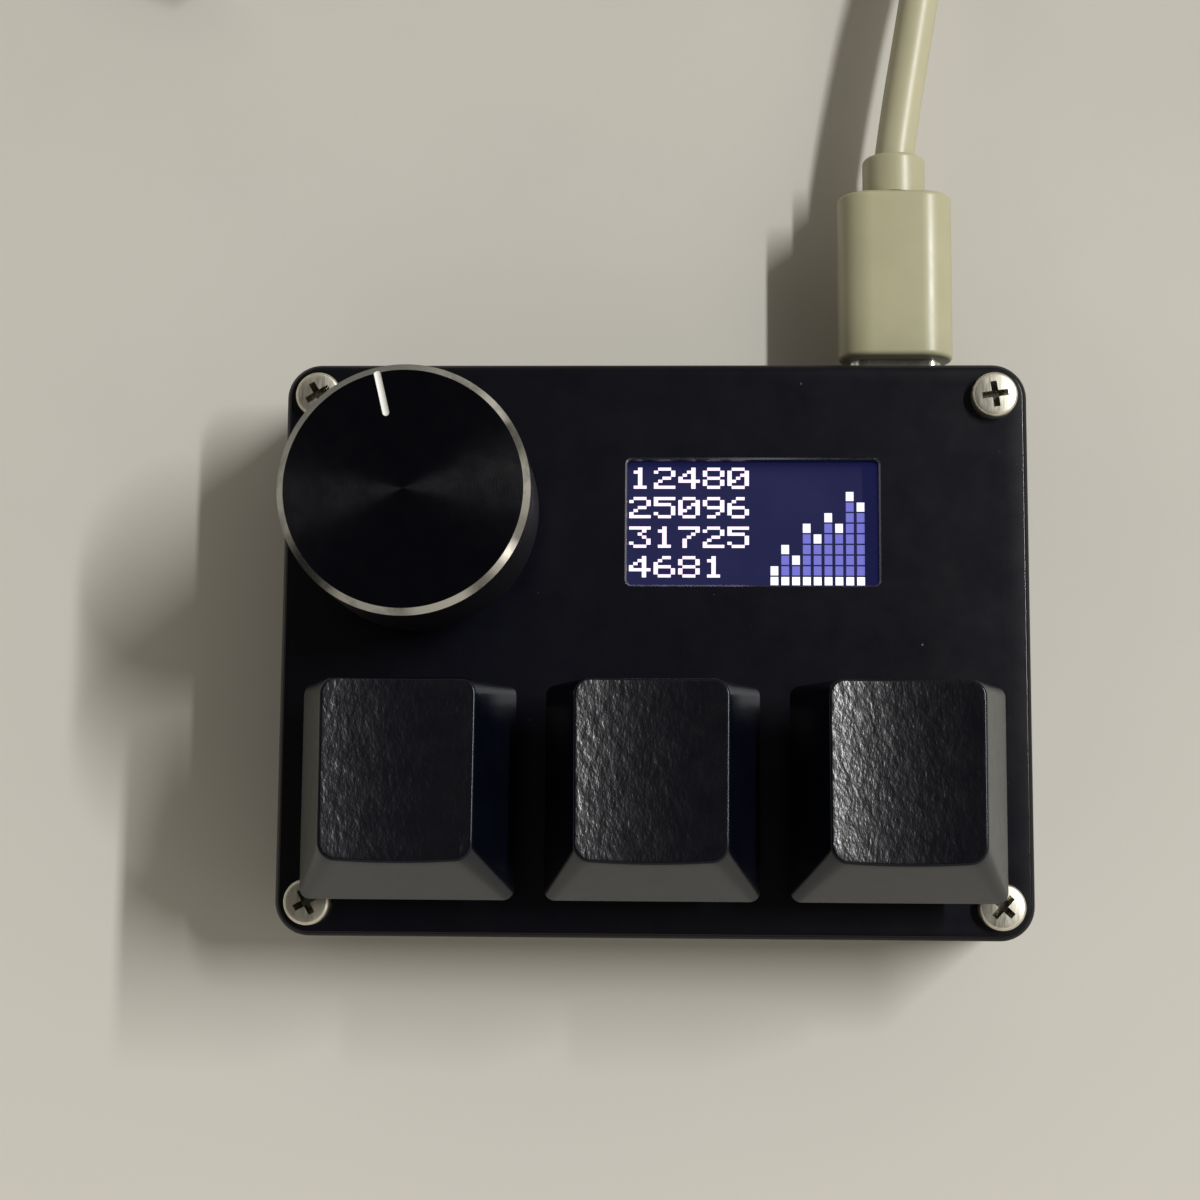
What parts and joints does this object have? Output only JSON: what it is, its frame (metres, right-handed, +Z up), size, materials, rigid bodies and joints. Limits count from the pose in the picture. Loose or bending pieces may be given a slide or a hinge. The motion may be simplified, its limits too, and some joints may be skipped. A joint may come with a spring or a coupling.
{
  "type": "macro keypad",
  "caption": "Small desk keypad with a row of sculpted keys, a turning and pressing dial, a small lit screen and a USB lead.",
  "frame": {"origin": "centre of the case's footprint, on the surface that the feet rest on", "axes": "+X along the row of keys to the right, +Y away from the user towards the lead, +Z up"},
  "size_m": [0.0859, 0.1519, 0.0299],
  "materials": {
    "case": "satin black anodised",
    "plate": "satin black anodised",
    "screw_steel": "nickel plated",
    "rubber": "matt",
    "board": "black solder mask",
    "chip": "moulded epoxy",
    "socket_steel": "drawn steel",
    "tongue": "moulded",
    "foam": "closed-cell foam",
    "screen_glass": "polished, lit from behind",
    "backlight": "white moulded",
    "connector": "moulded",
    "flex": "polyimide film",
    "encoder_plastic": "moulded",
    "encoder_metal": "die cast and plated",
    "terminal": "tin plated",
    "spring_steel": "drawn wire or strip",
    "rotor": "moulded",
    "shaft_metal": "turned",
    "knob": "turned, black anodised, with a bright cut ring and pointer",
    "grub": "blackened",
    "switch_base": "moulded",
    "switch_cover": "moulded",
    "switch_stem": "moulded",
    "magnet": "nickel plated",
    "keycap": "finely grained",
    "plug_steel": "nickel plated",
    "plug_body": "satin moulded",
    "cable": "soft, slightly glossy"
  },
  "bodies": {
    "base": {"case_tray": "case", "top_plate": "plate", "plate_screws": "screw_steel", "rubber_feet": "rubber", "circuit_board": "board", "processor_chip": "chip", "magnet_sensors": "chip", "board_components": "chip", "usb_socket_shell": "socket_steel", "usb_socket_tongue": "tongue", "screen_gasket": "foam", "screen_glass": "screen_glass", "screen_backlight": "backlight", "screen_pad": "foam", "screen_connector": "connector", "screen_flex": "flex", "encoder_base": "encoder_plastic", "encoder_frame": "encoder_metal", "encoder_terminals": "terminal", "detent_spring": "spring_steel", "encoder_dome": "spring_steel", "plug_shell": "plug_steel", "plug_body": "plug_body", "plug_collar": "plug_body", "cable_lead": "cable", "cable_coil": "cable", "cable_tail": "cable", "usb_a_collar": "plug_body", "usb_a_body": "plug_body", "usb_a_shell": "plug_steel", "usb_a_tongue": "tongue", "switch_base_left": "switch_base", "switch_cover_left": "switch_cover", "switch_spring_left": "spring_steel", "switch_base_middle": "switch_base", "switch_cover_middle": "switch_cover", "switch_spring_middle": "spring_steel", "switch_base_right": "switch_base", "switch_cover_right": "switch_cover", "switch_spring_right": "spring_steel"},
    "key_left": {"keycap_left": "keycap", "switch_stem_left": "switch_stem", "switch_magnet_left": "magnet"},
    "key_middle": {"keycap_middle": "keycap", "switch_stem_middle": "switch_stem", "switch_magnet_middle": "magnet"},
    "key_right": {"keycap_right": "keycap", "switch_stem_right": "switch_stem", "switch_magnet_right": "magnet"},
    "encoder_wheel": {"encoder_rotor": "rotor"},
    "dial": {"knob": "knob", "encoder_shaft": "shaft_metal", "grub_screw": "grub"}
  },
  "joints": [
    {"name": "key_left_press", "type": "slide", "parent": "base", "child": "key_left", "axis": [0, 0, -1], "range_m": [0, 0.004], "stiffness_N_per_m": 50, "springref_m": -0.007, "deforming": ["switch_spring_left"]},
    {"name": "key_middle_press", "type": "slide", "parent": "base", "child": "key_middle", "axis": [0, 0, -1], "range_m": [0, 0.004], "stiffness_N_per_m": 50, "springref_m": -0.007, "deforming": ["switch_spring_middle"]},
    {"name": "key_right_press", "type": "slide", "parent": "base", "child": "key_right", "axis": [0, 0, -1], "range_m": [0, 0.004], "stiffness_N_per_m": 50, "springref_m": -0.007, "deforming": ["switch_spring_right"]},
    {"name": "dial_turn", "type": "hinge", "parent": "base", "child": "encoder_wheel", "pos_m": [-0.0201, 0.01103, 0.02], "axis": [0, 0, 1], "continuous": true},
    {"name": "dial_press", "type": "slide", "parent": "encoder_wheel", "child": "dial", "axis": [0, 0, -1], "range_m": [0, 0.0005], "stiffness_N_per_m": 6000, "springref_m": -0.0003, "deforming": ["encoder_dome"]}
  ]
}
